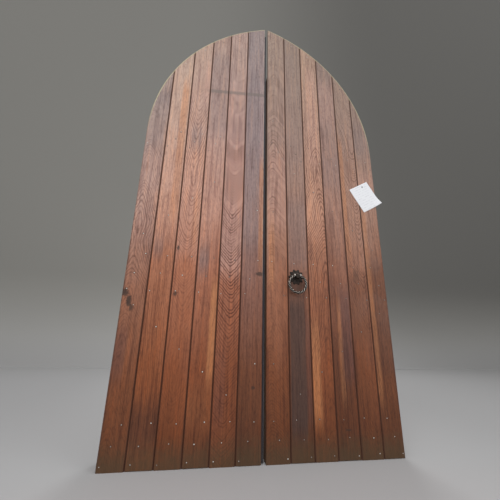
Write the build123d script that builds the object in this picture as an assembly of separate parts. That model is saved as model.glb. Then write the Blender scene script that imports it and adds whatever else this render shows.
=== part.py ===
from build123d import *
import math
import os

# A pair of boarded, ledged and braced door leaves under one pointed arch, hung on pintle hooks.
# X runs along the door, Y goes into it and Z is up. The origin lies at the bottom edge, in the
# middle of the meeting gap and of the leaf thickness. Sizes are in millimetres.
# Everything is drawn for the right leaf; a left piece is the same drawing mirrored in X.

# Leaf outline
board_pitch = 125.0  # one board, joint to joint
boards_per_leaf = 6
outer_board_trim = 4.5  # planed off the outermost board
spring_height = 1830.0  # where the straight outer edge turns into the arch
arch_centre_beyond = 330.0  # arch centre past the meeting edge, on the springing line
meeting_gap = 25.0

# Boards
board_thickness = 22.0
joint_gap = 1.2  # shrinkage between two boards
joint_bevel = 4.0  # each side of a V joint
edge_bevel = 5.0  # worn bevel along the arch and the outer edge
meeting_arris = 1.5
tongue_thickness = 7.0
groove_depth = 10.0
tongue_end_clearance = 1.5
board_bottoms_left = (1.5, 0.0, 3.0, 1.0, 2.5, 0.0)  # worn ends, from the meeting edge outwards
board_bottoms_right = (0.0, 2.0, 1.0, 3.5, 0.5, 2.5)

# Ledges, stiles, ribs and braces behind the boards
frame_thickness = 45.0
stile_width = 95.0
right_stile_below_apex = 436.6
ledge_bottom_lift = 4.0
bottom_ledge_top = 235.0
middle_ledge_bottom = 790.0
middle_ledge_top = 1065.0
upper_ledge_bottom = 1700.0
upper_ledge_top = 1860.0
rib_width = 95.0
right_rib_end = 60.0  # the right rib stops this far from the meeting edge
brace_width = 110.0
tenon_length = 60.0
tenon_thickness = 15.0
tenon_shoulder = 25.0

# Closing strip on the left leaf
strip_projection = 15.0
strip_below_apex = 45.0

# Hook-and-band hinges
strap_thickness = 6.0
strap_height = 45.0
strap_tip_height = 26.0
spear_half_width = 19.0
spear_neck = 26.0  # from the spear's widest place back to its neck
spear_point = 36.0  # and on to its point
strap_length = 420.0  # hinge axis to the widest place of the spear end
pin_radius = 8.0
pin_clearance = 0.1
axis_inset = 10.0  # hinge axis inside the outer edge of the leaf
collar_radius = 13.5
collar_height = 14.0
eye_rest_gap = 0.3
pin_above_eye = 9.0
eye_to_plate = 0.9
plate_thickness = 6.0
plate_height = 150.0
plate_ahead_of_axis = 12.0
plate_behind_axis = 48.0
plate_bolt_radius = 6.5
plate_bolt_spacing = 110.0
plate_bolt_behind_axis = 28.0
hook_arm_width = 18.0
hook_web_thickness = 8.0
hook_web_height = 30.0
spike_head = 13.0
spike_head_height = 5.0
spike_shank = 7.0
spike_hole_clearance = 0.5
spike_length = 42.0
spike_places = (45.0, 165.0, 290.0)  # from the hinge axis, with one more in the spear end

# Ring handle
handle_from_edge = 175.0  # spindle to the meeting edge
handle_height = 928.0
rose_disc_radius = 29.0
rose_rim = 3.5
rose_hub = 7.0
rose_hub_radius = 14.0
petal_count = 8
petal_half_width = 10.0
petal_half_length = 19.5
petal_shape = ((-1, 0), (-0.5, 0.78), (0, 1), (0.5, 0.78), (1, 0))  # shares of half length and half width
petal_centre = 28.0
spindle_side = 10.0
spindle_reach = 18.0  # how far ahead of the boards it goes into the boss
spindle_bore_radius = 9.0
rose_bore_radius = 8.0
plate_bearing_radius = 8.0
boss_gap = 0.3
boss_flange_radius = 19.0
boss_flange_thickness = 3.0
boss_neck_radius = 12.0
boss_cut_margin = 1.0
boss_ball_radius = 15.5
boss_half_width = 12.0
boss_nose_bevel = 4.0
turned_sides = 24  # flats around a forged round
ring_stand_off = 26.0  # ring plane ahead of the boards
ring_pivot_rise = 6.0  # ring pivot above the spindle
ring_radius = 50.0
ring_bar_radius = 7.6
ring_bar_waist = 5.6
ring_strands = 4
ring_twist_turns = 3.5
ring_sections = 38
ring_opening_angle = 22.0  # each side of the top, where the twisted bar ends
ring_knuckle_radius = 8.5
ring_knuckle_length = 9.0
ring_side_gap = 0.4
ring_pin_radius = 4.5
ring_pin_length = 6.5

# Sliding latch behind the ring handle
lock_plate_thickness = 4.0
lock_plate_from_edge = 9.5
lock_plate_margin = 20.0  # plate beyond the mechanism on its other sides
plate_corner = 6.0
latch_thickness = 8.0
latch_spine = 9.0  # height of the latch left above its slot
latch_nose_proud = 4.5  # how far the drawn latch stands past the meeting edge
latch_nose_bevel = 2.0
latch_tail = 8.0  # latch left behind the last guide when it is thrown
latch_under_tip = 2.0  # latch's lower edge below the lowest place of the crank's tip
slide_gap = 0.3
guide_gap = 0.4
guide_wall = 5.0
guide_length = 18.0
guide_from_edge = 17.5
guide_beyond_crank = 13.0
crank_reach = 33.0
crank_tip_radius = 5.0
crank_neck_half = 2.5
crank_hub_radius = 12.0
crank_swing = 38.0  # each side of upright
slot_half_width = 6.5
slot_above_tip = 1.0
spindle_end_radius = 4.9
spindle_end_proud = 2.0
nut_side = 17.0
nut_thickness = 7.0
keeper_from_edge = 1.0
keeper_width = 58.0
keeper_height = 60.0
keeper_mouth_inset = 2.0
keeper_mouth_length = 30.0
keeper_gap = 1.0

# Tower bolts on the left leaf
rod_radius = 8.0
rod_clearance = 0.1
rod_nose_bevel = 2.0
rod_from_edge = 47.5
bolt_plate_thickness = 3.0
bolt_plate_width = 44.0
bolt_plate_corner = 5.0
loop_wall = 5.0
loop_bevel = 5.0
loop_height = 20.0
lower_rod_bottom = 14.0
lower_rod_top = 330.0
lower_plate_bottom = 40.0
lower_plate_top = 290.0
lower_knob_height = 175.0
upper_rod_below_outline = 20.0
upper_rod_length = 774.0
upper_plates_below_rod_top = (94.0, 384.0, 644.0)
upper_plate_height = 60.0
upper_knob_from_end = 16.0
knob_stem_side = 9.0
knob_stem_length = 26.0
knob_radius = 9.0
knob_length = 9.0

# Paper tag with a curled corner, on the right leaf
tag_width = 150.0
tag_height = 180.0
tag_thickness = 0.6
tag_tilt = 30.0  # turned anticlockwise, seen from the front
tag_overhang = 35.5  # lowest outer corner past the leaf edge
tag_centre_height = 1500.0
tag_curl_start = 58.0  # from the tag's centre towards the curled corner
tag_curl_radius = 110.0
tag_curl_sweep = 60.0  # more than the curled corner uses
tack_head_radius = 4.5
tack_head_sides = 10
tack_head_thickness = 1.2
tack_shank = 1.6
tack_length = 9.0
tack_below_edge = 20.0
tack_from_joint = 30.0  # clear of the groove in the outermost board

# Places that follow from the sizes above
leaf_width = board_pitch * boards_per_leaf - outer_board_trim
arch_radius = leaf_width + arch_centre_beyond
edge_x = meeting_gap / 2
outer_x = edge_x + leaf_width
arch_centre_x = edge_x - arch_centre_beyond
apex_height = spring_height + math.sqrt(arch_radius**2 - arch_centre_beyond**2)
front_y = -(board_thickness + frame_thickness) / 2
board_back_y = front_y + board_thickness
back_y = board_back_y + frame_thickness
stile_x = edge_x + stile_width
eye_radius = pin_radius + pin_clearance + strap_thickness
axis_x = outer_x - axis_inset
axis_y = back_y + eye_radius
plate_x = axis_x + eye_radius + eye_to_plate
handle_x = edge_x + handle_from_edge
ring_y = front_y - ring_stand_off
pivot_z = handle_height + ring_pivot_rise
ring_centre_z = pivot_z - ring_radius
latch_y = back_y + lock_plate_thickness + slide_gap
latch_rise = crank_reach * math.cos(math.radians(crank_swing)) - latch_under_tip
latch_z = handle_height + latch_rise
slot_top_z = handle_height + crank_reach + crank_tip_radius + slot_above_tip
latch_top_z = slot_top_z + latch_spine
half_throw = crank_reach * math.sin(math.radians(crank_swing))
guide_xs = (edge_x + guide_from_edge, handle_x + half_throw + crank_tip_radius + guide_beyond_crank)
latch_tip_x = edge_x - latch_nose_proud
latch_end_x = guide_xs[1] + guide_length + 2 * half_throw + latch_tail
rod_x = edge_x + rod_from_edge
rod_y = back_y + bolt_plate_thickness + slide_gap + rod_radius
outline_reach = rod_x + rod_radius - arch_centre_x
upper_rod_top = spring_height + math.sqrt(arch_radius**2 - outline_reach**2) - upper_rod_below_outline
ledges = {
    "bottom_ledge": (ledge_bottom_lift, bottom_ledge_top),
    "middle_ledge": (middle_ledge_bottom, middle_ledge_top),
    "upper_ledge": (upper_ledge_bottom, upper_ledge_top),
}
band_heights = {name: sum(ledges[name + "_ledge"]) / 2 for name in ("bottom", "upper")}


def facing(y, sketch):
    """The sketch, drawn in X and Z, set upright in the plane at this Y."""
    return Plane.XZ.offset(-y) * sketch


def slab(sketch, y0, y1):
    """A plate with the sketch as its outline, from y0 back to y1."""
    return extrude(facing(y0, sketch), amount=y1 - y0, dir=(0, 1, 0))


def box(x0, x1, y0, y1, z0, z1):
    return Pos((x0 + x1) / 2, (y0 + y1) / 2, (z0 + z1) / 2) * Box(x1 - x0, y1 - y0, z1 - z0)


def rod(radius, start, end):
    """A round bar between two points."""
    axis = Vector(*end) - Vector(*start)
    return extrude(Plane(origin=start, z_dir=axis) * Circle(radius), amount=axis.length)


def block(x0, x1, z0, z1):
    """A rectangle in X and Z."""
    return Pos((x0 + x1) / 2, (z0 + z1) / 2) * Rectangle(x1 - x0, z1 - z0)


def leaf_outline():
    """Half of the pointed arch: three straight sides and one arc that meets the outer edge."""
    sweep = math.degrees(math.acos(arch_centre_beyond / arch_radius))
    return make_face(
        Line((edge_x, 0), (outer_x, 0))
        + Line((outer_x, 0), (outer_x, spring_height))
        + CenterArc((arch_centre_x, spring_height), arch_radius, 0, sweep)
        + Line((edge_x, apex_height), (edge_x, 0))
    )


def bevelled_leaf():
    """The leaf's whole front layer, with the worn bevel along its outer edge and arch."""
    layer = slab(leaf_outline(), front_y, board_back_y)
    front = layer.faces().sort_by(Axis.Y)[0]
    rim = [e for e in front.edges() if e.center().X > edge_x + 1 and e.center().Z > 1]
    return chamfer(rim, edge_bevel)


def board_section(index):
    """A board seen from above: groove towards the meeting edge, tongue outwards, V joints."""
    half = joint_gap / 2
    tongue_y0 = (front_y + board_back_y - tongue_thickness) / 2
    tongue_y1 = tongue_y0 + tongue_thickness
    if index == 0:
        points = [
            (edge_x, board_back_y),
            (edge_x, front_y + meeting_arris),
            (edge_x + meeting_arris, front_y),
        ]
    else:
        x = edge_x + index * board_pitch + half
        points = [
            (x, board_back_y),
            (x, tongue_y1),
            (x + groove_depth, tongue_y1),
            (x + groove_depth, tongue_y0),
            (x, tongue_y0),
            (x, front_y + joint_bevel),
            (x + joint_bevel, front_y),
        ]
    if index == boards_per_leaf - 1:
        points += [(outer_x, front_y), (outer_x, board_back_y)]
    else:
        x = edge_x + (index + 1) * board_pitch - half
        tip = x + groove_depth + joint_gap - tongue_end_clearance
        points += [
            (x - joint_bevel, front_y),
            (x, front_y + joint_bevel),
            (x, tongue_y0),
            (tip, tongue_y0),
            (tip, tongue_y1),
            (x, tongue_y1),
            (x, board_back_y),
        ]
    return make_face(Polyline(*points, close=True))


def boards(bottoms):
    """The leaf's boards, cut to the arch at the top and worn to slightly different lengths below."""
    layer = bevelled_leaf()
    made = []
    for index, bottom in enumerate(bottoms):
        plank = extrude(Pos(0, 0, bottom) * board_section(index), amount=apex_height)
        made.append(plank & layer)
    return made


def tenon(name):
    """Stub tenon of a ledge, in the middle of its thickness."""
    z0, z1 = ledges[name]
    middle = (board_back_y + back_y) / 2
    half = tenon_thickness / 2
    low, high = z0 + tenon_shoulder, z1 - tenon_shoulder
    return box(stile_x - tenon_length, stile_x, middle - half, middle + half, low, high)


def ledge(name):
    """A ledge from the meeting stile to the outer edge, tenoned into the stile."""
    z0, z1 = ledges[name]
    shape = block(stile_x, outer_x, z0, z1) & leaf_outline()
    return slab(shape, board_back_y, back_y) + tenon(name)


def meeting_stile(top):
    """The upright along the meeting edge, mortised for the ledges."""
    shape = block(edge_x, stile_x, ledge_bottom_lift, top) & leaf_outline()
    stile = slab(shape, board_back_y, back_y)
    for name in ledges:
        stile -= tenon(name)
    return stile


def head_rib(inner_x):
    """The curved rib that follows the arch from the upper ledge to inner_x."""
    centre = Pos(arch_centre_x, spring_height)
    band = centre * Circle(arch_radius) - centre * Circle(arch_radius - rib_width)
    return slab(band & block(inner_x, outer_x, upper_ledge_top, apex_height), board_back_y, back_y)


def brace(x0, z0, x1, z1):
    """A board along the diagonal of its bay, cut to fit into both corners."""
    length = math.hypot(x1 - x0, z1 - z0)
    tilt = math.degrees(math.atan2(z1 - z0, x1 - x0))
    centre = Pos((x0 + x1) / 2, (z0 + z1) / 2)
    long_board = centre * Rot(0, 0, tilt) * Rectangle(length + 2 * brace_width, brace_width)
    bay = block(min(x0, x1), max(x0, x1), min(z0, z1), max(z0, z1))
    return slab(long_board & bay, board_back_y, back_y)


def lower_brace():
    return brace(stile_x, bottom_ledge_top, outer_x, middle_ledge_bottom)


def upper_brace():
    return brace(outer_x, middle_ledge_top, stile_x, upper_ledge_bottom)


def closing_strip():
    """The strip on the meeting edge that fills most of the gap behind the boards."""
    top = apex_height - strip_below_apex
    return box(edge_x - strip_projection, edge_x, board_back_y, back_y, ledge_bottom_lift, top)


def hinge_band(z):
    """A tapered strap with a spear end, rolled into an eye around the hinge pin."""
    end_x = axis_x - strap_length
    half = [
        (axis_x, strap_height / 2),
        (end_x + spear_neck, strap_tip_height / 2),
        (end_x, spear_half_width),
        (end_x - spear_point, 0),
    ]
    outline = [(x, z + up) for x, up in half] + [(x, z - up) for x, up in reversed(half[:-1])]
    shape = make_face(Polyline(*outline, close=True))
    hole = spike_shank + 2 * spike_hole_clearance
    for x in spike_xs():
        shape -= Pos(x, z) * Rectangle(hole, hole)
    strap = slab(shape, back_y, back_y + strap_thickness)
    bottom = (axis_x, axis_y, z - strap_height / 2)
    top = (axis_x, axis_y, z + strap_height / 2)
    return strap + rod(eye_radius, bottom, top) - rod(pin_radius + pin_clearance, bottom, top)


def spike_xs():
    return [axis_x - place for place in spike_places] + [axis_x - strap_length]


def spike(x, z):
    """A square-headed forged spike through the strap into the ledge."""
    seat = back_y + strap_thickness
    head = slab(Pos(x, z) * Rectangle(spike_head, spike_head), seat, seat + spike_head_height)
    return head + slab(Pos(x, z) * Rectangle(spike_shank, spike_shank), seat - spike_length, seat)


def band_spikes():
    return Compound(children=[spike(x, z).solid() for z in band_heights.values() for x in spike_xs()])


def pintle(z):
    """A hook for one band: pin and collar on an arm, with a web under it, forged to a bolt-on plate."""
    top = z - strap_height / 2 - eye_rest_gap
    low = top - collar_height
    middle = (top + low) / 2
    pin = rod(pin_radius, (axis_x, axis_y, low), (axis_x, axis_y, z + strap_height / 2 + pin_above_eye))
    collar = extrude(Pos(axis_x, axis_y, low) * RegularPolygon(collar_radius, turned_sides), amount=top - low)
    arm = box(axis_x, plate_x, axis_y - hook_arm_width / 2, axis_y + hook_arm_width / 2, low, top)
    corner = (plate_x, low - hook_web_height)
    web_outline = make_face(Polyline((axis_x, low), (plate_x, low), corner, close=True))
    web = slab(web_outline, axis_y - hook_web_thickness / 2, axis_y + hook_web_thickness / 2)
    plate = box(
        plate_x,
        plate_x + plate_thickness,
        axis_y - plate_ahead_of_axis,
        axis_y + plate_behind_axis,
        middle - plate_height / 2,
        middle + plate_height / 2,
    )
    hook = pin + collar + arm + web + plate
    for hole_z in (middle - plate_bolt_spacing / 2, middle + plate_bolt_spacing / 2):
        y = axis_y + plate_bolt_behind_axis
        hook -= rod(plate_bolt_radius, (plate_x, y, hole_z), (plate_x + plate_thickness, y, hole_z))
    return hook


def drilled(piece):
    """A piece of the right leaf with the hole for the handle's spindle."""
    start, end = (handle_x, front_y, handle_height), (handle_x, back_y, handle_height)
    return piece - rod(spindle_bore_radius, start, end)


def rose():
    """The plate behind the ring: a low dome with pointed petals around it."""
    side = [(petal_half_width * across, petal_half_length * along) for along, across in petal_shape]
    other = [(-x, z) for x, z in reversed(side[1:-1])]
    petal = make_face(Polyline(*side, *other, close=True))
    leaves = Circle(rose_disc_radius)
    for index in range(petal_count):
        leaves += Rot(0, 0, index * 360 / petal_count) * Pos(0, petal_centre) * petal
    plate = slab(Pos(handle_x, handle_height) * leaves, front_y - rose_rim, front_y)
    dome = turned([(rose_disc_radius, rose_rim), (rose_hub_radius, rose_hub)])
    start, end = (handle_x, front_y, handle_height), (handle_x, front_y - rose_hub, handle_height)
    return plate + dome - rod(rose_bore_radius, start, end)


def faceted(rows):
    """A solid of flat facets from one row of corners to the next, closed at both ends."""
    facets = [Face(Wire.make_polygon(rows[0], close=True)), Face(Wire.make_polygon(rows[-1], close=True))]
    count = len(rows[0])
    for near, far in zip(rows, rows[1:]):
        for index in range(count):
            after = (index + 1) % count
            facets.append(Face(Wire.make_polygon([near[index], near[after], far[after]], close=True)))
            facets.append(Face(Wire.make_polygon([near[index], far[after], far[index]], close=True)))
    return Solid(Shell(facets))


def turned(outline):
    """A many-sided round about the spindle, from pairs of radius and distance ahead of the boards."""
    rows = []
    for radius, ahead in outline:
        angles = [2 * math.pi * (index + 0.5) / turned_sides for index in range(turned_sides)]
        rows.append(
            [
                Vector(handle_x + radius * math.cos(a), front_y - ahead, handle_height + radius * math.sin(a))
                for a in angles
            ]
        )
    return faceted(rows)


def ring_boss():
    """The turned boss: flange, neck and ball, with flat cheeks, cross holes and a socket behind."""
    base = rose_hub + boss_gap
    neck = base + boss_flange_thickness
    half_ball = math.sqrt(boss_ball_radius**2 - boss_neck_radius**2)
    outline = [
        (boss_flange_radius, base),
        (boss_flange_radius, neck),
        (boss_neck_radius, neck + boss_flange_thickness / 2),
        (boss_neck_radius, ring_stand_off - half_ball),
        (boss_ball_radius, ring_stand_off - boss_ball_radius / 4),
        (boss_ball_radius, ring_stand_off + boss_ball_radius / 4),
        (boss_neck_radius, ring_stand_off + half_ball),
        (boss_neck_radius - boss_nose_bevel, ring_stand_off + half_ball + boss_nose_bevel / 2),
    ]
    boss = turned(outline)
    reach = boss_ball_radius + boss_cut_margin
    for side in (-1, 1):
        cheek = sorted((handle_x + side * boss_half_width, handle_x + side * reach))
        boss -= box(*cheek, ring_y - reach, front_y - neck, handle_height - reach, handle_height + reach)
    start, end = (handle_x - reach, ring_y, pivot_z), (handle_x + reach, ring_y, pivot_z)
    return boss - rod(ring_pin_radius + pin_clearance, start, end) - spindle()


def spindle():
    """The square bar that joins the boss to the crank, with a round end for the nut."""
    half = spindle_side / 2
    shoulder = latch_y + latch_thickness
    start = front_y - spindle_reach
    bar = box(handle_x - half, handle_x + half, start, shoulder, handle_height - half, handle_height + half)
    end = shoulder + nut_thickness + spindle_end_proud
    return bar + rod(spindle_end_radius, (handle_x, shoulder, handle_height), (handle_x, end, handle_height))


def ring_section(share):
    """Corners of the bar's fluted section at a share of the way round the ring."""
    opening = math.radians(ring_opening_angle)
    angle = opening + share * (2 * math.pi - 2 * opening)
    turn = 2 * math.pi * ring_twist_turns * share
    outward = Vector(math.sin(angle), 0, math.cos(angle))
    centre = Vector(handle_x, ring_y, ring_centre_z) + outward * ring_radius
    corners = []
    for index in range(2 * ring_strands):
        radius = ring_bar_waist if index % 2 else ring_bar_radius
        around = turn + math.pi * index / ring_strands
        corners.append(centre + outward * radius * math.cos(around) + Vector(0, radius * math.sin(around), 0))
    return corners


def twisted_bar():
    """The four-strand bar, closed at both ends."""
    return faceted([ring_section(index / ring_sections) for index in range(ring_sections + 1)])


def ring():
    """The twisted bar bent to a ring, with a knuckle and a pin at each of its ends."""
    bar = twisted_bar()
    inner = boss_half_width + ring_side_gap
    for side in (-1, 1):
        near = (handle_x + side * inner, ring_y, pivot_z)
        far = (handle_x + side * (inner + ring_knuckle_length), ring_y, pivot_z)
        tip = (handle_x + side * (boss_half_width - ring_pin_length), ring_y, pivot_z)
        bar = bar + rod(ring_knuckle_radius, near, far) + rod(ring_pin_radius, near, tip)
    return bar


def crank():
    """The lever on the spindle's back end, leaning outwards while the latch is drawn."""
    hub = rod(crank_hub_radius, (0, 0, 0), (0, latch_thickness, 0))
    neck = box(-crank_neck_half, crank_neck_half, 0, latch_thickness, 0, crank_reach)
    tip = rod(crank_tip_radius, (0, 0, crank_reach), (0, latch_thickness, crank_reach))
    lever = Rot(0, crank_swing, 0) * (hub + neck + tip)
    return Pos(handle_x, latch_y, handle_height) * lever - spindle()


def spindle_nut():
    seat = latch_y + latch_thickness
    half = nut_side / 2
    low, high = handle_height - half, handle_height + half
    return box(handle_x - half, handle_x + half, seat, seat + nut_thickness, low, high) - spindle()


def latch_bar():
    """The sliding latch, with a slot for the crank in its lower edge and a bevelled nose."""
    slot_x = handle_x + half_throw
    shape = block(latch_tip_x, latch_end_x, latch_z, latch_top_z)
    shape -= block(slot_x - slot_half_width, slot_x + slot_half_width, latch_z, slot_top_z)
    bar = slab(shape, latch_y, latch_y + latch_thickness)
    nose = bar.faces().sort_by(Axis.X)[0].edges().filter_by(Axis.Z)
    return chamfer(nose, latch_nose_bevel)


def staple(x0, x1, gap, surface):
    """A bridge over the latch, standing on the plate surface."""
    roof = latch_y + latch_thickness + gap
    inner = box(x0, x1, surface, roof, latch_z - gap, latch_top_z + gap)
    wall = gap + guide_wall
    return box(x0, x1, surface, roof + guide_wall, latch_z - wall, latch_top_z + wall) - inner


def lock_plate():
    """The plate behind the handle, with two guides for the latch and a bearing for the spindle."""
    surface = back_y + lock_plate_thickness
    plate = box(
        edge_x + lock_plate_from_edge,
        guide_xs[1] + guide_length + lock_plate_margin,
        back_y,
        surface,
        handle_height - lock_plate_margin,
        latch_top_z + lock_plate_margin,
    )
    plate = chamfer(plate.edges().filter_by(Axis.Y), plate_corner)
    for x in guide_xs:
        plate += staple(x, x + guide_length, guide_gap, surface)
    start, end = (handle_x, back_y, handle_height), (handle_x, surface, handle_height)
    return plate - rod(plate_bearing_radius, start, end)


def keeper():
    """The staple on the left leaf that takes the thrown latch."""
    x0 = edge_x + keeper_from_edge
    surface = back_y + lock_plate_thickness
    middle = (latch_z + latch_top_z) / 2
    half = keeper_height / 2
    plate = box(x0, x0 + keeper_width, back_y, surface, middle - half, middle + half)
    plate = chamfer(plate.edges().filter_by(Axis.Y), plate_corner)
    mouth = x0 + keeper_mouth_inset
    return plate + staple(mouth, mouth + keeper_mouth_length, keeper_gap, surface)


def loop(z):
    """A loop around a bolt rod, standing on its plate, with its back corners taken off."""
    surface = back_y + bolt_plate_thickness
    radius = rod_radius + loop_wall
    low, high = z - loop_height / 2, z + loop_height / 2
    block_round = box(rod_x - radius, rod_x + radius, surface, rod_y + radius, low, high)
    corners = block_round.edges().filter_by(Axis.Z).group_by(Axis.Y)[-1]
    bore = rod(rod_radius + rod_clearance, (rod_x, rod_y, low), (rod_x, rod_y, high))
    return chamfer(corners, loop_bevel) - bore


def bolt_plate(z0, z1, loops):
    """A plate with loops at the given heights."""
    half = bolt_plate_width / 2
    plate = box(rod_x - half, rod_x + half, back_y, back_y + bolt_plate_thickness, z0, z1)
    plate = chamfer(plate.edges().filter_by(Axis.Y), bolt_plate_corner)
    for z in loops:
        plate += loop(z)
    return plate


def lower_bolt_plate():
    margin = loop_height
    loops = (lower_plate_bottom + margin, lower_plate_top - margin)
    return bolt_plate(lower_plate_bottom, lower_plate_top, loops)


def upper_bolt_plates():
    half = upper_plate_height / 2
    centres = [upper_rod_top - below for below in upper_plates_below_rod_top]
    return Compound(children=[bolt_plate(z - half, z + half, (z,)).solid() for z in centres])


def bolt_rod(butt_z, nose_z, knob_z):
    """A round rod with a bevelled nose and a round knob on a square stem to pull it by."""
    bar = rod(rod_radius, (rod_x, rod_y, butt_z), (rod_x, rod_y, nose_z))
    nose = min(bar.edges(), key=lambda edge: abs(edge.center().Z - nose_z))
    bar = chamfer(nose, rod_nose_bevel)
    end = rod_y + rod_radius + knob_stem_length
    half = knob_stem_side / 2
    stem = box(rod_x - half, rod_x + half, rod_y, end, knob_z - half, knob_z + half)
    return bar + stem + rod(knob_radius, (rod_x, end, knob_z), (rod_x, end + knob_length, knob_z))


def lower_bolt_rod():
    return bolt_rod(lower_rod_top, lower_rod_bottom, lower_knob_height)


def upper_bolt_rod():
    bottom = upper_rod_top - upper_rod_length
    return bolt_rod(bottom, upper_rod_top, bottom + upper_knob_from_end)


def tag_centre():
    """The tag's centre, from the overhang of its lowest outer corner."""
    tilt = math.radians(tag_tilt)
    reach = tag_width / 2 * math.cos(tilt) + tag_height / 2 * math.sin(tilt)
    return outer_x + tag_overhang - reach, tag_centre_height


def paper_tag():
    """A sheet that lies on the boards and curls away from them towards its outer corner."""
    x, z = tag_centre()
    outline = Pos(x, z) * Rot(0, 0, tag_tilt) * Rectangle(tag_width, tag_height)
    corner = math.atan2(-tag_height / 2, tag_width / 2) + math.radians(tag_tilt)
    along = Vector(math.cos(corner), 0, math.sin(corner))
    size = tag_width + tag_height
    flat = Line((-size, 0), (tag_curl_start, 0))
    curl = CenterArc((tag_curl_start, -tag_curl_radius), tag_curl_radius, 90, -tag_curl_sweep)
    inner_radius = tag_curl_radius - tag_thickness
    outer_curl = CenterArc((tag_curl_start, -tag_curl_radius), inner_radius, 90, -tag_curl_sweep)
    section = make_face(
        flat
        + curl
        + Line(curl @ 1, outer_curl @ 1)
        + outer_curl
        + Line((tag_curl_start, -tag_thickness), (-size, -tag_thickness))
        + Line((-size, -tag_thickness), (-size, 0))
    )
    side = along.cross(Vector(0, 1, 0))
    lying = Plane(origin=(x, front_y, z), x_dir=along, z_dir=side)
    sheet = extrude(lying * section, amount=size / 2, both=True)
    return sheet & slab(outline, front_y - tag_curl_radius, front_y)


def tag_tack():
    """A tack through the top of the tag, into the outermost board."""
    centre_x, centre_z = tag_centre()
    up = tag_height / 2 - tack_below_edge
    tilt = math.radians(tag_tilt)
    x = edge_x + board_pitch * (boards_per_leaf - 1) + tack_from_joint
    z = centre_z + (up + (x - centre_x) * math.sin(tilt)) / math.cos(tilt)
    seat = front_y - tag_thickness
    disc = Pos(x, z) * RegularPolygon(tack_head_radius, tack_head_sides)
    head = slab(disc, seat - tack_head_thickness, seat)
    return head + slab(Pos(x, z) * Rectangle(tack_shank, tack_shank), seat, seat + tack_length)


def mirrored(piece):
    return mirror(piece, about=Plane.YZ)


def leaf_pieces(bottoms, stile_top, rib_end):
    """One leaf's wood and hinge bands, drawn for the right leaf."""
    made = {f"board_{number}": board for number, board in enumerate(boards(bottoms), 1)}
    made.update({name: ledge(name) for name in ledges})
    made["meeting_stile"] = meeting_stile(stile_top)
    made["head_rib"] = head_rib(rib_end)
    made["lower_brace"] = lower_brace()
    made["upper_brace"] = upper_brace()
    for name, z in band_heights.items():
        made[f"{name}_band"] = hinge_band(z)
        for x in spike_xs():
            made[f"{name}_ledge"] -= spike(x, z)
    made["band_spikes"] = band_spikes()
    return made


def left_leaf():
    made = leaf_pieces(board_bottoms_left, apex_height, stile_x)
    made["closing_strip"] = closing_strip()
    made["latch_keeper"] = keeper()
    made["lower_bolt_plate"] = lower_bolt_plate()
    made["lower_bolt_rod"] = lower_bolt_rod()
    made["upper_bolt_plates"] = upper_bolt_plates()
    made["upper_bolt_rod"] = upper_bolt_rod()
    made.update({f"{name}_pintle": pintle(z) for name, z in band_heights.items()})
    return {f"left_{name}": mirrored(piece) for name, piece in made.items()}


def right_leaf():
    made = leaf_pieces(board_bottoms_right, apex_height - right_stile_below_apex, edge_x + right_rib_end)
    handle_board = f"board_{int(handle_from_edge // board_pitch) + 1}"
    for name in (handle_board, "middle_ledge"):
        made[name] = drilled(made[name])
    made[f"board_{boards_per_leaf}"] -= tag_tack()
    made.update({f"{name}_pintle": pintle(z) for name, z in band_heights.items()})
    return {f"right_{name}": piece for name, piece in made.items()}


def fittings():
    """The ring handle, its latch and the tag, all on the right leaf."""
    return {
        "handle_rose": rose(),
        "ring_boss": ring_boss(),
        "twisted_ring": ring(),
        "handle_spindle": spindle(),
        "latch_crank": crank(),
        "spindle_nut": spindle_nut(),
        "latch_bar": latch_bar(),
        "lock_plate": lock_plate(),
        "paper_tag": paper_tag() - tag_tack(),
        "tag_tack": tag_tack(),
    }


os.makedirs("parts", exist_ok=True)
for node, piece in {**left_leaf(), **right_leaf(), **fittings()}.items():
    export_step(piece, f"parts/{node}.step")
print("arch apex", round(apex_height, 1), "leaf width", leaf_width, "latch throw", round(2 * half_throw, 2))
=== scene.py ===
import math

import bpy
import numpy as np
from bpy.props import FloatProperty, FloatVectorProperty, IntProperty, PointerProperty
from mathutils import Matrix, Vector


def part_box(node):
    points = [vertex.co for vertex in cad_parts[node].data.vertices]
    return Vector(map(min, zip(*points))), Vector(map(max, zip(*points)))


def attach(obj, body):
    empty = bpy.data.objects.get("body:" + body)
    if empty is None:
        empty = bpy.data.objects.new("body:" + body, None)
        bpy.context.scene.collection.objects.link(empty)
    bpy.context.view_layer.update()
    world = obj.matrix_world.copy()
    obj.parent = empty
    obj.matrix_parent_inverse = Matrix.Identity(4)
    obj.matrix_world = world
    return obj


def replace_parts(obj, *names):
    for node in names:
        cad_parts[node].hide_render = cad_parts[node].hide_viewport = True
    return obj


bl_info = {
    "name": "Arched wooden door",
    "version": (1, 0, 0),
    "blender": (4, 5, 0),
    "location": "View3D > Sidebar > Door",
    "description": "Finishes a pair of boarded door leaves with wood, ironwork, nails and a studio",
    "category": "Object",
}

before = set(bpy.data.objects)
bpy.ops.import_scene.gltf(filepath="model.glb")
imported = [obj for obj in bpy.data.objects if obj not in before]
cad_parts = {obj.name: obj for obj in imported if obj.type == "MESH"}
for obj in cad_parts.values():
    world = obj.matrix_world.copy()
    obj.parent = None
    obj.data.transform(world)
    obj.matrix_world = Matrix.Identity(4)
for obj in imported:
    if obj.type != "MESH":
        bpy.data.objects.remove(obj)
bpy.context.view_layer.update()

# Places read from the frame, in metres: X along the door, Y into it, Z up.
FRONT_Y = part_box("right_board_1")[0].y
EDGE_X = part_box("right_board_1")[0].x
OUTER_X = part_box("right_board_6")[1].x
APEX_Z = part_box("right_board_1")[1].z
HANDLE = sum(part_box("handle_rose"), Vector()) / 2

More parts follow.
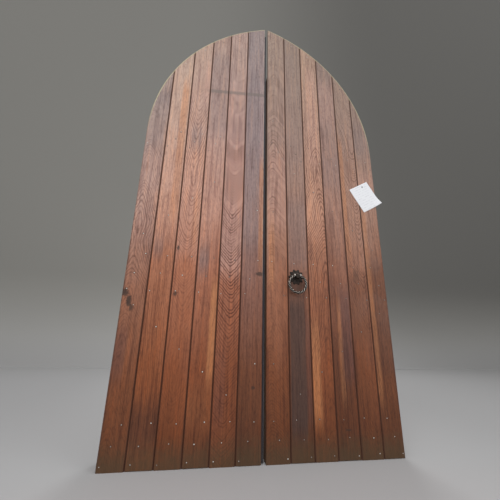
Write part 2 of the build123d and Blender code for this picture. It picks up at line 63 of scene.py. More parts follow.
# Sizes of the solids that their boxes don't give
BOARD = 0.125  # from joint to joint
SPRING_Z = 1.83  # where the arch starts
ARCH_X = EDGE_X - 0.33  # centre of the arch's right half
ARCH_RADIUS = OUTER_X - ARCH_X
LEDGES = ((0.004, 0.235), (0.79, 1.065), (1.7, 1.86))  # bottom and top of each
STILE = 0.095  # width of the meeting stile
BRACE_RUN = OUTER_X - EDGE_X - STILE  # how far a brace goes across
LOWER_RISE = LEDGES[1][0] - LEDGES[0][1]  # how far the lower brace climbs
UPPER_RISE = LEDGES[2][0] - LEDGES[1][1]
PIVOT_Z = HANDLE.z + 0.006  # the ring's pins
RING_Y = FRONT_Y - 0.026  # the ring's middle plane
RING_OPENING = math.radians(22)  # each side of the top, where the twisted bar ends
LATCH_PLATE = 0.004  # thickness of the keeper and the lock plate
BOLT_PLATE = 0.003  # thickness of the bolts' plates
PIN_HEIGHTS = (0.247, 0.306)  # the two pins in the left leaf's meeting edge


# Meshes from numpy grids


def shell(points, around=True, caps=True):
    """Corners and faces of one or more shells from a grid of points.

    The grid is (shells, rows, columns, 3). Columns join up into rings where around is true, rows are joined
    one to the next, and where caps is true each end is closed by a fan to the ring's mean point. Where the
    signed volume, the sum of a.(b x c) / 6 over the triangles, is negative, the faces are turned round.
    """
    count, rows, columns, _ = points.shape
    corners = points.reshape(count, rows * columns, 3)
    row = np.arange(rows - 1)[:, None] * columns
    column = np.arange(columns if around else columns - 1)[None, :]
    after = (column + 1) % columns
    quads = np.stack([row + column, row + after, row + columns + after, row + columns + column], -1)
    quads = quads.reshape(-1, 4)
    triangles = np.zeros((0, 3), int)
    if caps:
        ends = np.stack([points[:, 0].mean(1), points[:, -1].mean(1)], 1)
        corners = np.concatenate([corners, ends], 1)
        last = (rows - 1) * columns
        first_fan = np.stack([np.full(columns, rows * columns), after[0], column[0]], -1)
        last_fan = np.stack([np.full(columns, rows * columns + 1), last + column[0], last + after[0]], -1)
        triangles = np.concatenate([first_fan, last_fan])
    a, b, c, d = (corners[0][quads[:, k]] for k in range(4))
    volume = (a * np.cross(b, c)).sum() + (a * np.cross(c, d)).sum()
    if caps:
        e, f, g = (corners[0][triangles[:, k]] for k in range(3))
        volume += (e * np.cross(f, g)).sum()
    if volume < 0:
        quads, triangles = quads[:, ::-1], triangles[:, ::-1]
    step = np.arange(count)[:, None, None] * corners.shape[1]
    faces = (quads[None] + step).reshape(-1, 4).tolist() + (triangles[None] + step).reshape(-1, 3).tolist()
    return corners.reshape(-1, 3), faces


def joined(*shells):
    """Corners and faces of several shells as one."""
    corners, faces, start = [], [], 0
    for some_corners, some_faces in shells:
        corners.append(some_corners)
        faces += [[start + corner for corner in face] for face in some_faces]
        start += len(some_corners)
    return np.concatenate(corners), faces


def piece(name, corners, faces, material, body, wear_and_glint=None):
    """A new piece in the frame's place, riding on a body. Its last argument holds a pair of numbers per
    corner, for wear and for painted glints.
    """
    mesh = bpy.data.meshes.new(name)
    mesh.from_pydata(corners.tolist(), [], faces)
    mesh.validate()
    mesh.polygons.foreach_set("use_smooth", np.ones(len(mesh.polygons), bool))
    if wear_and_glint is not None:
        corner_of = np.zeros(len(mesh.loops), np.int32)
        mesh.loops.foreach_get("vertex_index", corner_of)
        layer = mesh.uv_layers.new(name="wear_and_glint")
        layer.data.foreach_set("uv", wear_and_glint[corner_of].astype(np.float32).ravel())
    mesh.materials.append(material)
    made = bpy.data.objects.new(name, mesh)
    bpy.context.scene.collection.objects.link(made)
    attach(made, body)
    return made


def turned(profile, origin, axis, across, columns=48):
    """A turned shape: each (radius, distance along the axis) pair swept right round the axis."""
    radius, along = np.array(profile).T
    axis, across = np.array(axis, float), np.array(across, float)
    third = np.cross(axis, across)
    angle = circle(columns)
    ring = np.cos(angle)[:, None] * across + np.sin(angle)[:, None] * third
    return np.array(origin) + along[:, None, None] * axis + radius[:, None, None] * ring[None]


def circle(columns):
    """Angles right round in even steps, in radians."""
    return np.linspace(0, 2 * np.pi, columns, endpoint=False)


def arc(start, end, steps):
    """Angles in radians between two given in degrees."""
    return np.linspace(math.radians(start), math.radians(end), steps)


# Materials


class Recipe:
    """One material being built. Each call adds a node and gives back its output."""

    def __init__(self, name):
        self.material = bpy.data.materials.new(name)
        self.material.use_nodes = True
        self.tree = self.material.node_tree
        self.tree.nodes.clear()
        self.place = self.add("ShaderNodeTexCoord", {}, "Object")

    def add(self, kind, inputs, out=0, **settings):
        node = self.tree.nodes.new(kind)
        for key, value in settings.items():
            setattr(node, key, value)
        for key, value in inputs.items():
            if isinstance(value, bpy.types.NodeSocket):
                self.tree.links.new(value, node.inputs[key])
            else:
                node.inputs[key].default_value = value
        return node.outputs[out]

    def math(self, operation, *values):
        return self.add("ShaderNodeMath", dict(enumerate(values)), operation=operation)

    def times(self, first, second):
        return self.math("MULTIPLY", first, second)

    def plus(self, first, second):
        return self.math("ADD", first, second)

    def minus(self, first, second):
        return self.math("SUBTRACT", first, second)

    def strayed(self, value, noise, amount):
        """A value pushed up or down by a noise, by half the amount at the most."""
        return self.math("MULTIPLY_ADD", self.minus(noise, 0.5), amount, value)

    def split(self, vector):
        parts = self.tree.nodes.new("ShaderNodeSeparateXYZ")
        self.tree.links.new(vector, parts.inputs[0])
        return parts.outputs

    def vector(self, x, y, z):
        return self.add("ShaderNodeCombineXYZ", {0: x, 1: y, 2: z})

    def scaled(self, vector, x, y, z, shift=(0, 0, 0), turn=(0, 0, 0)):
        inputs = {"Vector": vector, "Scale": (x, y, z), "Location": shift, "Rotation": turn}
        return self.add("ShaderNodeMapping", inputs)

    def noise(self, vector, scale=1.0, detail=2.0, rough=0.5):
        inputs = {"Vector": vector, "Scale": scale, "Detail": detail, "Roughness": rough}
        return self.add("ShaderNodeTexNoise", inputs, "Fac")

    def streaked(self, across, along, fine, coarse, seed, detail=2.0, rough=0.5):
        """Noise scaled by fine across the grain and by coarse along it."""
        place = self.vector(self.times(across, fine), seed, self.times(along, coarse))
        return self.noise(place, 1.0, detail, rough)

    def fade(self, value, zero_at, one_at, low=0.0, high=1.0):
        """A smooth step from low, at zero_at, to high, at one_at."""
        inputs = {"Value": value, "From Min": zero_at, "From Max": one_at, "To Min": low, "To Max": high}
        if zero_at > one_at:
            inputs.update({"From Min": one_at, "From Max": zero_at, "To Min": high, "To Max": low})
        return self.add("ShaderNodeMapRange", inputs, interpolation_type="SMOOTHSTEP")

    def mix(self, share, first, second, blend="MIX"):
        linked = bpy.types.NodeSocket
        first, second = (side if isinstance(side, linked) else (*side, 1) for side in (first, second))
        inputs = {0: share, 6: first, 7: second}
        return self.add("ShaderNodeMix", inputs, 2, data_type="RGBA", blend_type=blend)

    def ramp(self, value, stops):
        node = self.tree.nodes.new("ShaderNodeValToRGB")
        self.tree.links.new(value, node.inputs[0])
        elements = node.color_ramp.elements
        while len(elements) < len(stops):
            elements.new(0.5)
        for element, (place, colour) in zip(elements, stops):
            element.position = place
            element.color = (*colour, 1)
        return node.outputs[0]

    def finish(self, colour, rough, metal=0.0, height=None, depth=0.001, strength=0.5, **more):
        inputs = {"Base Color": colour, "Roughness": rough, "Metallic": metal, **more}
        if height is not None:
            bump = {"Height": height, "Distance": depth, "Strength": strength}
            inputs["Normal"] = self.add("ShaderNodeBump", bump)
        surface = self.add("ShaderNodeBsdfPrincipled", inputs)
        output = self.tree.nodes.new("ShaderNodeOutputMaterial")
        self.tree.links.new(surface, output.inputs["Surface"])
        return self.material


def grain(r, across, depth, along, figure, bold_at, seed):
    """Darkness of the growth rings, and of fibres and pores, each from 0 to 1.

    The ring number at a point is the distance from the middle of the figure, rounded off near it, plus a rise
    along the board and a share of the depth, all over the ring width. A steep rise draws nested arches,
    downwards where it is negative, and a slight one draws straight grain. Slow noise bends the lines and fine
    noise roughens them. The lines are boldest near the height bold_at.
    """
    middle, lean, swell, spacing = figure
    wander = r.noise(r.vector(seed, 0.0, along), 1.3)
    side = r.noise(r.vector(along, seed, 3.0), 1.1, 1.0)
    fine = r.streaked(across, along, 30.0, 13.0, seed, 3.0, 0.62)
    x = r.minus(across, r.strayed(middle, side, 0.08))
    off = r.math("SQRT", r.math("MULTIPLY_ADD", x, x, 0.00012))
    rise = r.math("MULTIPLY_ADD", along, lean, r.times(r.minus(wander, 0.5), swell))
    reach = r.plus(r.plus(off, rise), r.times(depth, 0.7))
    reach = r.strayed(reach, fine, 0.021)
    number = r.math("DIVIDE", reach, spacing)
    line = r.math("POWER", r.times(r.math("PINGPONG", number, 0.5), 2.0), 2.2)
    uneven = r.streaked(number, along, 0.9, 0.7, seed)
    bold = r.fade(r.math("ABSOLUTE", r.minus(along, bold_at)), 0.95, 0.4, 0.4, 1.0)
    rings = r.times(r.times(line, bold), r.fade(uneven, 0.34, 0.58, 0.15, 1.0))
    fibre_place = r.vector(r.times(across, 230.0), r.times(depth, 230.0), along)
    fibres = r.noise(r.scaled(fibre_place, 1, 1, 5, shift=(seed, 0, 0)), 1.0, 3.0, 0.65)
    pores = r.fade(r.noise(r.scaled(fibre_place, 3, 3, 34, shift=(0, seed, 0)), 1.0, 2.0), 0.6, 0.7)
    return rings, fibres, pores


def patch(r, across, along, x, half_width, z0, z1):
    """1 inside a strip from z0 to z1 on a board, fading at its sides and, over a longer way, at its ends."""
    soft, half = 0.012, (z1 - z0) / 2
    ragged = r.streaked(across, along, 60.0, 5.0, x)
    off = r.strayed(r.math("ABSOLUTE", r.minus(across, x)), ragged, soft)
    middle = r.math("ABSOLUTE", r.minus(along, (z0 + z1) / 2))
    return r.times(r.fade(off, half_width + soft, half_width), r.fade(middle, half, half - min(half, 0.16)))


def lines_of(table, side, index):
    """What a table holds for one board."""
    return [row[2:] for row in table if row[:2] == (side, index)]


# One line per board, from the meeting edge outwards: the figure as (middle, rise, swell, ring width), how
# dark its rings are and where they are boldest, and the tone as shares of red, green and blue
LEFT_BOARDS = (
    ((-0.15, 0.03, 0.06, 0.008), (0.4, 1.0), (0.78, 0.8, 0.87)),
    ((0.0, -0.75, 0.12, 0.014), (1.4, 1.3), (1.16, 1.06, 1.02)),
    ((0.13, -0.03, 0.06, 0.008), (0.4, 0.9), (1.1, 0.99, 0.92)),
    ((0.01, -0.35, 0.6, 0.013), (0.66, 1.5), (1.2, 1.07, 0.95)),
    ((0.09, 0.08, 0.1, 0.009), (0.5, 0.9), (1.24, 1.15, 1.01)),
    ((0.03, 0.4, 0.5, 0.0125), (0.68, 1.4), (0.92, 0.92, 0.9)),
)
RIGHT_BOARDS = (
    ((-0.03, 0.75, 0.4, 0.0135), (1.0, 1.85), (0.94, 0.89, 0.81)),
    ((-0.14, 0.03, 0.06, 0.008), (0.4, 0.8), (0.76, 0.73, 0.68)),
    ((0.035, 0.3, 0.35, 0.0125), (0.85, 1.25), (1.1, 0.98, 0.83)),
    ((0.14, -0.05, 0.08, 0.009), (0.5, 0.9), (0.76, 0.715, 0.68)),
    ((0.04, -0.4, 0.3, 0.012), (0.8, 1.5), (0.83, 0.78, 0.7)),
    ((-0.1, 0.08, 0.1, 0.009), (0.5, 0.9), (0.76, 0.74, 0.68)),
)
ORANGE = (0.56, 0.24, 0.10)
PINK = (0.55, 0.33, 0.27)
SOOT = (0.06, 0.042, 0.038)
SLATE = (0.2, 0.165, 0.17)
PLUM = (0.13, 0.062, 0.055)
UMBER = (0.10, 0.038, 0.02)
DARK_STREAK = (0.16, 0.13, 0.115)
# Strips of another colour: leaf side, board, across, half width, bottom, top, colour, strength
STRIPS = (
    (-1, 0, 0.012, 0.04, 1.0, 2.5, SLATE, 0.35),
    (-1, 0, -0.05, 0.008, 0.9, 1.75, ORANGE, 0.5),
    (-1, 0, -0.02, 0.02, 1.2, 1.5, PLUM, 0.2),
    (-1, 0, 0.0, 0.055, 0.6, 1.2, PLUM, 0.2),
    (-1, 1, 0.0, 0.06, 0.85, 1.85, PINK, 0.75),
    (-1, 1, 0.045, 0.008, 1.5, 2.3, PINK, 0.4),
    (-1, 1, 0.03, 0.02, 0.1, 0.6, PLUM, 0.25),
    (-1, 2, -0.045, 0.014, 0.3, 0.95, ORANGE, 0.62),
    (-1, 2, 0.025, 0.02, 0.85, 1.15, SLATE, 0.5),
    (-1, 2, 0.0, 0.055, 0.08, 0.42, ORANGE, 0.1),
    (-1, 2, 0.0, 0.055, 1.75, 2.6, SLATE, 0.35),
    (-1, 3, 0.0, 0.025, 1.65, 1.95, SLATE, 0.45),
    (-1, 3, -0.035, 0.012, 1.0, 1.5, ORANGE, 0.35),
    (-1, 3, -0.04, 0.01, 2.0, 2.5, PINK, 0.4),
    (-1, 3, 0.0, 0.055, 0.95, 1.65, PINK, 0.25),
    (-1, 4, -0.03, 0.016, 1.15, 2.3, ORANGE, 0.5),
    (-1, 4, 0.03, 0.02, 0.95, 1.15, SLATE, 0.35),
    (-1, 4, 0.0, 0.06, 0.0, 0.35, UMBER, 0.75),
    (-1, 4, 0.0, 0.055, 1.0, 1.75, PINK, 0.25),
    (-1, 5, 0.03, 0.02, 0.3, 0.7, PLUM, 0.4),
    (-1, 5, 0.0, 0.05, 1.95, 2.2, SLATE, 0.35),
    (-1, 5, -0.035, 0.014, 0.9, 1.4, PLUM, 0.3),
    (-1, 5, 0.0, 0.055, 1.0, 1.75, PINK, 0.3),
    (1, 0, -0.035, 0.012, 0.8, 1.4, ORANGE, 0.4),
    (1, 0, 0.0, 0.055, 1.15, 1.85, PINK, 0.4),
    (1, 1, -0.012, 0.038, 0.02, 0.9, SOOT, 0.72),
    (1, 1, 0.046, 0.008, 0.1, 0.8, PLUM, 0.4),
    (1, 1, 0.0, 0.05, 0.9, 1.5, SLATE, 0.35),
    (1, 2, -0.035, 0.018, 0.1, 0.75, ORANGE, 0.55),
    (1, 2, 0.0, 0.05, 0.45, 1.2, UMBER, 0.2),
    (1, 2, 0.01, 0.03, 1.6, 2.6, PINK, 0.3),
    (1, 3, 0.022, 0.03, 0.3, 0.95, PLUM, 0.6),
    (1, 3, -0.012, 0.006, 0.2, 0.9, ORANGE, 0.35),
    (1, 3, 0.0, 0.05, 1.95, 2.5, PINK, 0.25),
    (1, 3, 0.0, 0.055, 1.45, 1.85, SLATE, 0.25),
    (1, 3, -0.02, 0.05, 0.2, 0.7, UMBER, 0.25),
    (1, 4, -0.045, 0.008, 1.0, 2.0, ORANGE, 0.4),
    (1, 4, 0.0, 0.05, 0.5, 1.05, UMBER, 0.35),
    (1, 5, 0.01, 0.06, 0.3, 1.15, UMBER, 0.5),
    (1, 5, -0.045, 0.008, 0.2, 1.6, ORANGE, 0.35),
    (1, 5, 0.0, 0.05, 1.45, 1.75, PINK, 0.3),
    (1, 5, 0.0, 0.06, 1.75, 2.15, SLATE, 0.3),
)
# Dark spots: leaf side, board, across from its middle, height, half width, half height, strength
SPOTS = (
    (-1, 5, 0.045, 0.800, 0.020, 0.022, 0.85),
    (-1, 5, 0.020, 0.757, 0.013, 0.030, 0.85),
    (-1, 5, 0.004, 0.722, 0.012, 0.018, 0.7),
    (-1, 3, 0.0475, 1.059, 0.008, 0.014, 0.8),
    (-1, 3, 0.039, 0.802, 0.010, 0.014, 0.75),
    (-1, 0, -0.044, 0.934, 0.024, 0.0125, 0.75),
    (-1, 0, -0.0175, 0.339, 0.010, 0.010, 0.6),
    (1, 3, 0.0015, 0.138, 0.018, 0.005, 0.6),
    (1, 4, -0.01, 0.955, 0.02, 0.05, 0.35),
    # Painted shade under the ring and its rose, partly an iron stain on the wood
    (1, 1, -0.0125, 0.884, 0.052, 0.054, 0.62),
)
DARK_STREAK_HEIGHT, DARK_STREAK_FALL = 2.2186, 0.078  # the left leaf's streak: at the gap, and per metre outwards
JOINT_FULL, JOINT_END = 0.0035, 0.0062  # from a joint's middle: how far its dirt and painted shade are full, and where they end


def board_wood(side, index, settings):
    """Stained and weathered board, from its own lines in the tables, with a painted sheen high up and painted
    shade in its joints.
    """
    figure, (contrast, bold_at), tone = (LEFT_BOARDS, RIGHT_BOARDS)[side > 0][index]
    seed = 3.7 * index + (11.3 if side > 0 else 1.9)
    r = Recipe(f"board_wood_{'left' if side < 0 else 'right'}_{index + 1}")
    x, y, z = r.split(r.place)
    from_gap = r.math("ABSOLUTE", x)
    outwards = r.minus(from_gap, EDGE_X + BOARD * (index + 0.5))
    depth = r.minus(y, FRONT_Y)
    rings, fibres, pores = grain(r, outwards, depth, z, figure, bold_at, seed)

    blotch = r.streaked(x, z, 5.0, 0.9, seed)
    # Colour up the door, darker low down and paler and pinker higher up: the pale upper stops are partly
    # bleached stain and partly a painted sheen, the sky reflected in the upper boards
    stops = (
        (0.0, settings.foot_colour),
        (0.15, settings.low_colour),
        (0.32, settings.waist_colour),
        (0.47, settings.middle_stain_and_sheen),
        (0.66, settings.high_stain_and_sheen),
        (0.92, settings.top_stain_and_sheen),
    )
    colour = r.ramp(r.strayed(r.math("DIVIDE", z, APEX_Z), blotch, 0.22), stops)
    colour = r.mix(1.0, colour, tone, "MULTIPLY")
    for across, half_width, z0, z1, tint, strength in lines_of(STRIPS, side, index):
        mask = r.times(patch(r, outwards, z, across, half_width, z0, z1), strength)
        colour = r.mix(mask, colour, tint)
    streaks = r.streaked(outwards, z, 75.0, 3.2, seed, 3.0, 0.6)
    mottle = r.streaked(outwards, z, 110.0, 36.0, seed, 3.0, 0.7)
    shades = (
        (r.fade(streaks, 0.34, 0.5, 0.5, 0.0), (0.46, 0.36, 0.36)),
        (r.fade(streaks, 0.5, 0.68, 0.0, 0.5), (1.3, 1.13, 0.95)),
        (r.fade(mottle, 0.3, 0.52, 0.42, 0.0), (0.42, 0.34, 0.34)),
        (r.fade(mottle, 0.52, 0.72, 0.0, 0.35), (1.35, 1.22, 1.1)),
        (r.times(rings, contrast), settings.ring_colour),
        (r.fade(fibres, 0.35, 0.75, 0.0, 0.4), (0.52, 0.44, 0.42)),
        (r.times(pores, 0.45), (0.4, 0.33, 0.3)),
    )
    for mask, shade in shades:
        colour = r.mix(mask, colour, shade, "MULTIPLY")

    for across, up, half_width, half_height, strength in lines_of(SPOTS, side, index):
        dx = r.math("DIVIDE", r.minus(outwards, across), half_width)
        dz = r.math("DIVIDE", r.minus(z, up), half_height)
        off = r.math("SQRT", r.plus(r.times(dx, dx), r.times(dz, dz)))
        off = r.strayed(off, r.noise(r.place, 95.0, 3.0, 0.6), 1.6)
        colour = r.mix(r.fade(off, 1.3, 0.5, 0.0, strength), colour, (0.03, 0.02, 0.016))
    # A faint dark level streak across the left leaf's inner four boards, near the top
    if side < 0 and index < 4:
        line = r.minus(r.math("MULTIPLY_ADD", from_gap, DARK_STREAK_FALL, z), DARK_STREAK_HEIGHT)
        line = r.strayed(r.math("ABSOLUTE", line), streaks, 0.01)
        along_line = r.times(r.fade(from_gap, 0.44, 0.36, 0.0, 0.62), r.fade(depth, 0.008, 0.003))
        colour = r.mix(r.times(r.fade(line, 0.019, 0.008), along_line), colour, DARK_STREAK)

    grime = r.noise(r.place, 42.0, 3.0, 0.6)
    foot = r.strayed(z, grime, 0.12)
    colour = r.mix(r.fade(foot, 0.16, 0.0, 0.0, 0.6), colour, settings.weathered_colour)
    # Dark V joints: partly dirt, partly painted shade standing in for the grooves' shadow
    joint_off = r.math("ABSOLUTE", outwards)
    if index == 0:
        joint_off = outwards
    if index == 5:
        joint_off = r.times(outwards, -1.0)
    joint = r.fade(joint_off, BOARD / 2 - JOINT_END, BOARD / 2 - JOINT_FULL, 0.0, 0.82)
    colour = r.mix(joint, colour, settings.joint_dirt_and_shade_colour)
    if index == 0:
        arris = r.fade(from_gap, EDGE_X + 0.0045, EDGE_X + 0.0015, 0.0, 0.65 if side < 0 else 0.2)
        arris = r.times(arris, r.fade(z, 0.6, 1.3))
        colour = r.mix(r.times(arris, r.fade(grime, 0.35, 0.55)), colour, (0.5, 0.42, 0.36))

    beyond = r.minus(from_gap, ARCH_X)
    rise = r.math("MAXIMUM", r.minus(z, SPRING_Z), 0.0)
    reach = r.math("SQRT", r.plus(r.times(beyond, beyond), r.times(rise, rise)))
    to_rim = r.minus(ARCH_RADIUS, reach)
    # Darker along the leaf's outer edge, below the arch
    dark_outer_edge = r.times(r.fade(to_rim, 0.011, 0.003), r.fade(z, 1.9, 1.2, 0.0, 0.7))
    colour = r.mix(r.times(dark_outer_edge, r.fade(grime, 0.4, 0.6)), colour, settings.joint_dirt_and_shade_colour)
    rim = r.times(r.fade(to_rim, 0.012, 0.006), r.fade(z, 1.75, 2.1))
    colour = r.mix(r.times(rim, r.fade(grime, 0.3, 0.5, 0.45, 0.95)), colour, settings.rim_colour)

    height = r.math("MULTIPLY_ADD", rings, -0.5, r.times(fibres, -0.6))
    height = r.minus(height, r.times(pores, 0.5))
    rough = r.fade(r.noise(r.place, 9.0, 3.0), 0.3, 0.7, 0.42, 0.62)
    return r.finish(colour, rough, height=height, depth=0.0012, strength=0.45, **{"Specular IOR Level": 0.3})


def frame_wood(name, turn, seed, settings):
    """Sawn and stained timber behind the boards, its grain turned to run along the piece."""
    r = Recipe(name)
    x, y, z = r.split(r.scaled(r.place, 1, 1, 1, turn=(0, turn, 0)))
    rings, fibres, _ = grain(r, x, y, z, (0.02, 0.12, 0.2, 0.011), 1.0, seed)
    saw = r.noise(r.vector(0.0, seed, r.times(z, 190.0)), 1.0, 1.0)
    tone = r.noise(r.vector(r.times(x, 4.0), seed, z), 1.1, 2.0)
    colour = r.ramp(tone, ((0.3, settings.frame_dark), (0.7, settings.frame_pale)))
    colour = r.mix(r.times(rings, 0.45), colour, settings.ring_colour, "MULTIPLY")
    colour = r.mix(r.fade(fibres, 0.35, 0.75, 0.0, 0.45), colour, (0.5, 0.42, 0.38), "MULTIPLY")
    height = r.math("MULTIPLY_ADD", rings, -0.4, r.times(fibres, -0.6))
    height = r.plus(height, r.times(saw, 0.35))
    rough = r.fade(tone, 0.3, 0.7, 0.55, 0.75)
    return r.finish(colour, rough, height=height, depth=0.0014)


def strip_paint(settings):
    """Old dark paint on the closing strip, thin enough to show the grain, with dust low down."""
    r = Recipe("dark_strip_paint")
    x, y, z = r.split(r.place)
    streaks = r.noise(r.vector(r.times(x, 90.0), r.times(y, 90.0), z), 3.0, 3.0)
    colour = r.mix(r.fade(streaks, 0.45, 0.75), settings.strip_colour, (0.055, 0.05, 0.065))
    dust = r.fade(r.plus(z, streaks), 0.75, 0.35, 0.0, 0.5)
    colour = r.mix(dust, colour, (0.08, 0.075, 0.07))
    return r.finish(colour, r.fade(streaks, 0.3, 0.7, 0.42, 0.62), height=streaks, depth=0.0006, strength=0.4)


def forged_iron(name, dark, pale, rust, polish):
    """Hammered iron: shallow round dents, dark scale, paler where it is rubbed, and rust in spots."""
    r = Recipe(name)
    inputs = {"Vector": r.place, "Scale": 130.0, "Smoothness": 0.8}
    dents = r.add("ShaderNodeTexVoronoi", inputs, feature="SMOOTH_F1")
    scale = r.noise(r.place, 55.0, 4.0, 0.65)
    grit = r.noise(r.place, 700.0, 2.0)
    colour = r.mix(r.fade(scale, 0.42, 0.72), dark, pale)
    colour = r.mix(r.fade(r.noise(r.place, 21.0, 4.0, 0.7), 0.56, 0.7, 0.0, 0.7), colour, rust)
    height = r.math("MULTIPLY_ADD", grit, 0.12, r.math("MULTIPLY_ADD", scale, 0.3, dents))
    rough = r.fade(scale, 0.35, 0.75, 0.62, 0.62 - polish)
    return r.finish(colour, rough, 0.85, height=height, depth=0.0012)


def iron_wear_and_glints(name, dark, bright):
    """Iron rubbed bright where a hand meets it; the same bright colour also paints glints on the ring's
    crests, knuckles and the top of the boss. The second number of the map is 1 on a high place.
    """
    r = Recipe(name)
    wear_and_glint = r.add("ShaderNodeUVMap", {}, uv_map="wear_and_glint")
    high = r.split(wear_and_glint)[1]
    scale = r.noise(r.place, 160.0, 4.0, 0.6)
    # Bright where the map is high: wear, and painted glints on the ring's crests, the knuckles and the top of
    # the boss
    rubbed = r.fade(r.strayed(high, scale, 0.4), 0.84, 1.0)
    colour = r.mix(rubbed, r.mix(r.fade(scale, 0.4, 0.7), dark, (0.06, 0.045, 0.035)), bright)
    rough = r.fade(rubbed, 0.0, 1.0, 0.5, 0.3)
    height = r.plus(scale, r.times(r.noise(r.place, 900.0, 2.0), 0.2))
    return r.finish(colour, rough, 0.9, height=height, depth=0.0005)


def nail_steel(name):
    """Blunt nail heads, rusty at the rim and bright in the middle, the bright middle partly clean metal and
    partly a painted glint. The first number of the map is how strongly a nail's glint is painted, and the
    second goes from 0 at its rim to 1 in the middle."""
    r = Recipe(name)
    wear_and_glint = r.split(r.add("ShaderNodeUVMap", {}, uv_map="wear_and_glint"))
    spots = r.noise(r.place, 320.0, 3.0)
    clean_and_glint = r.times(r.fade(wear_and_glint[1], 0.35, 0.6), r.fade(spots, 0.3, 0.5, 0.35, 1.0))
    clean_and_glint = r.times(clean_and_glint, r.fade(wear_and_glint[0], 0.2, 0.8, 0.35, 1.0))
    colour = r.mix(clean_and_glint, (0.075, 0.04, 0.025), (0.86, 0.82, 0.76))
    return r.finish(colour, r.fade(clean_and_glint, 0.0, 1.0, 0.7, 0.32), r.times(clean_and_glint, 0.35))


def tag_paper(settings):
    """White card, a little soiled, with faint ruled lines."""
    r = Recipe("tag_paper")
    low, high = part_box("paper_tag")
    centre = (low + high) / 2
    inputs = {"Vector": r.place, "Center": centre, "Angle": settings.tilt}
    x, _, z = r.split(r.add("ShaderNodeVectorRotate", inputs, rotation_type="Y_AXIS"))
    rows = r.math("PINGPONG", r.minus(z, centre.z), settings.line_pitch / 2)
    line = r.fade(rows, 0.0022, 0.0008)
    inside = r.fade(r.math("ABSOLUTE", r.minus(x, centre.x)), 0.058, 0.054)
    faded = r.fade(r.noise(r.place, 60.0, 3.0), 0.4, 0.62)
    ruled = r.times(r.times(line, inside), r.times(faded, 0.5))
    soiled = r.fade(r.noise(r.place, 14.0, 4.0), 0.35, 0.8, 0.0, 0.35)
    colour = r.mix(soiled, settings.paper_colour, (0.72, 0.72, 0.76))
    colour = r.mix(ruled, colour, (0.42, 0.42, 0.46))
    fibre = r.noise(r.place, 900.0, 2.0)
    return r.finish(colour, 0.72, height=fibre, depth=0.0003, strength=0.25)


# Settings that a user would change


class DoorWood(bpy.types.PropertyGroup):
    foot_colour: FloatVectorProperty(
        name="Foot", description="Stain at the foot", default=(0.132, 0.044, 0.0165), subtype="COLOR"
    )
    low_colour: FloatVectorProperty(
        name="Low", description="Stain half a metre up", default=(0.228, 0.077, 0.032), subtype="COLOR"
    )
    waist_colour: FloatVectorProperty(
        name="Waist", description="Stain at handle height", default=(0.36, 0.156, 0.095), subtype="COLOR"
    )
    # Middle, High and Top are partly bleached stain and partly a painted sheen of sky reflected in the upper
    # boards
    middle_stain_and_sheen: FloatVectorProperty(
        name="Middle", description="Half bleached stain", default=(0.495, 0.298, 0.238), subtype="COLOR"
    )
    high_stain_and_sheen: FloatVectorProperty(
        name="High", description="Bleached stain higher up", default=(0.42, 0.297, 0.266), subtype="COLOR"
    )
    top_stain_and_sheen: FloatVectorProperty(
        name="Top", description="Bleached stain near the top", default=(0.372, 0.288, 0.256), subtype="COLOR"
    )
    ring_colour: FloatVectorProperty(
        name="Growth rings", description="What a dark line keeps", default=(0.3, 0.22, 0.2), subtype="COLOR"
    )
    # Joints: partly dirt and partly painted shade in the V grooves; the same colour darkens the outer edge
    joint_dirt_and_shade_colour: FloatVectorProperty(
        name="Joints", description="Dirt in the V joints", default=(0.075, 0.03, 0.018), subtype="COLOR"
    )
    weathered_colour: FloatVectorProperty(
        name="Weathered foot", description="Damp, greenish wood", default=(0.07, 0.05, 0.026), subtype="COLOR"
    )
    rim_colour: FloatVectorProperty(
        name="Rim", description="Bare wood on the arch's bevel", default=(0.44, 0.385, 0.245), subtype="COLOR"
    )
    frame_dark: FloatVectorProperty(
        name="Frame, dark", description="Dark timber behind", default=(0.13, 0.062, 0.034), subtype="COLOR"
    )
    frame_pale: FloatVectorProperty(
        name="Frame, pale", description="Pale timber behind", default=(0.27, 0.145, 0.085), subtype="COLOR"
    )
    strip_colour: FloatVectorProperty(
        name="Closing strip", description="Paint of the strip", default=(0.015, 0.012, 0.019), subtype="COLOR"
    )


class DoorNails(bpy.types.PropertyGroup):
    radius: FloatProperty(name="Radius", description="Radius of a nail head", default=0.0042, unit="LENGTH")
    rise: FloatProperty(name="Rise", description="Height of a nail head", default=0.0016, unit="LENGTH")
    screw_radius: FloatProperty(
        name="Screw", description="Radius of a screw head", default=0.0045, unit="LENGTH"
    )


class DoorHandle(bpy.types.PropertyGroup):
    ring_radius: FloatProperty(
        name="Ring", description="Radius of the ring's middle line", default=0.05, unit="LENGTH"
    )
    bar_radius: FloatProperty(
        name="Bar", description="Radius of the bar over its strands", default=0.0076, unit="LENGTH"
    )
    bar_waist: FloatProperty(
        name="Waist", description="Radius between the strands", default=0.0044, unit="LENGTH"
    )
    strands: IntProperty(name="Strands", description="Strands twisted together", default=4)
    turns: FloatProperty(name="Turns", description="Turns of the twist round the ring", default=3.5)
    petals: IntProperty(name="Petals", description="Petals of the rose", default=10)
    dark: FloatVectorProperty(
        name="Iron", description="Iron in the hollows", default=(0.028, 0.024, 0.022), subtype="COLOR"
    )
    # Worn iron: also the colour of the painted glints on the ring, knuckles and boss
    bright: FloatVectorProperty(
        name="Worn iron", description="Iron rubbed bright", default=(0.48, 0.44, 0.40), subtype="COLOR"
    )


